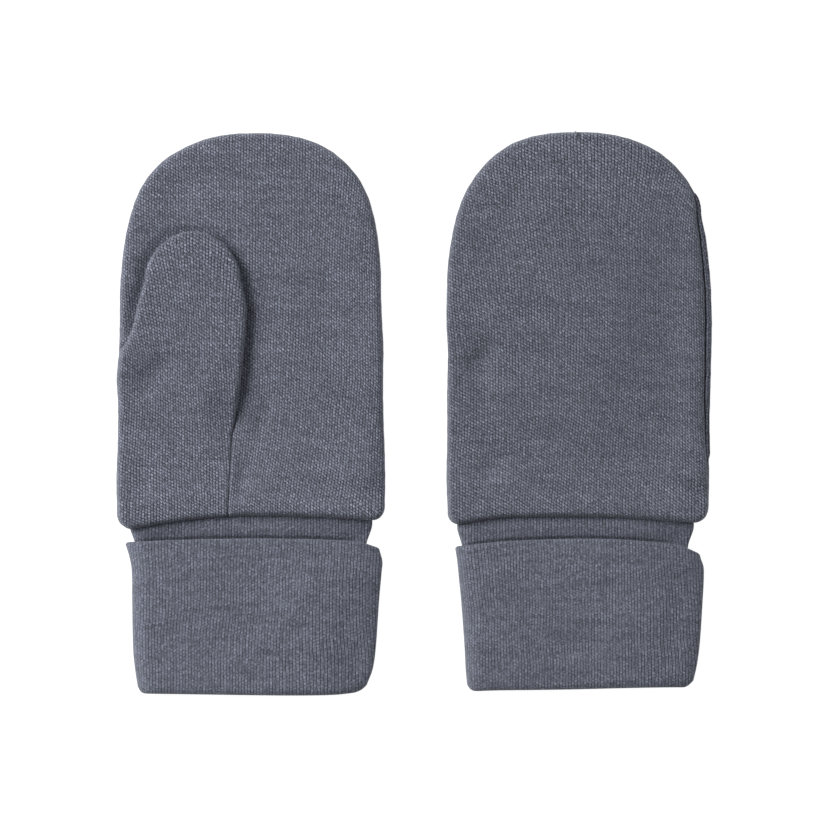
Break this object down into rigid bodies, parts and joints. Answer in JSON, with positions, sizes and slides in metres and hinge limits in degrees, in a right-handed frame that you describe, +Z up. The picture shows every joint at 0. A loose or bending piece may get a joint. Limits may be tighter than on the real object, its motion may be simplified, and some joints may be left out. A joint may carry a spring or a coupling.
{
  "type": "pair of mittens",
  "caption": "Small child's knitted mittens with rounded tips, thumbs and turned-up cuffs, laid flat side by side, one palm up and one back up.",
  "frame": {"origin": "centre of the pair's footprint on the surface it lies on", "axes": "+X across both mittens from the palm-up one to the back-up one, +Y from the cuffs to the finger tips, +Z up from the surface"},
  "size_m": [0.1665, 0.1574, 0.0094],
  "materials": {
    "knit": "fine matt grey-blue melange wool interlock",
    "cuff_knit": "doubled fine matt grey-blue melange wool interlock"
  },
  "bodies": {
    "root": {"left_back": "knit", "left_palm": "knit", "left_thumb": "knit", "left_thumb_inner": "knit", "left_cuff": "cuff_knit", "right_back": "knit", "right_palm": "knit", "right_thumb": "knit", "right_thumb_inner": "knit", "right_cuff": "cuff_knit"}
  },
  "joints": []
}
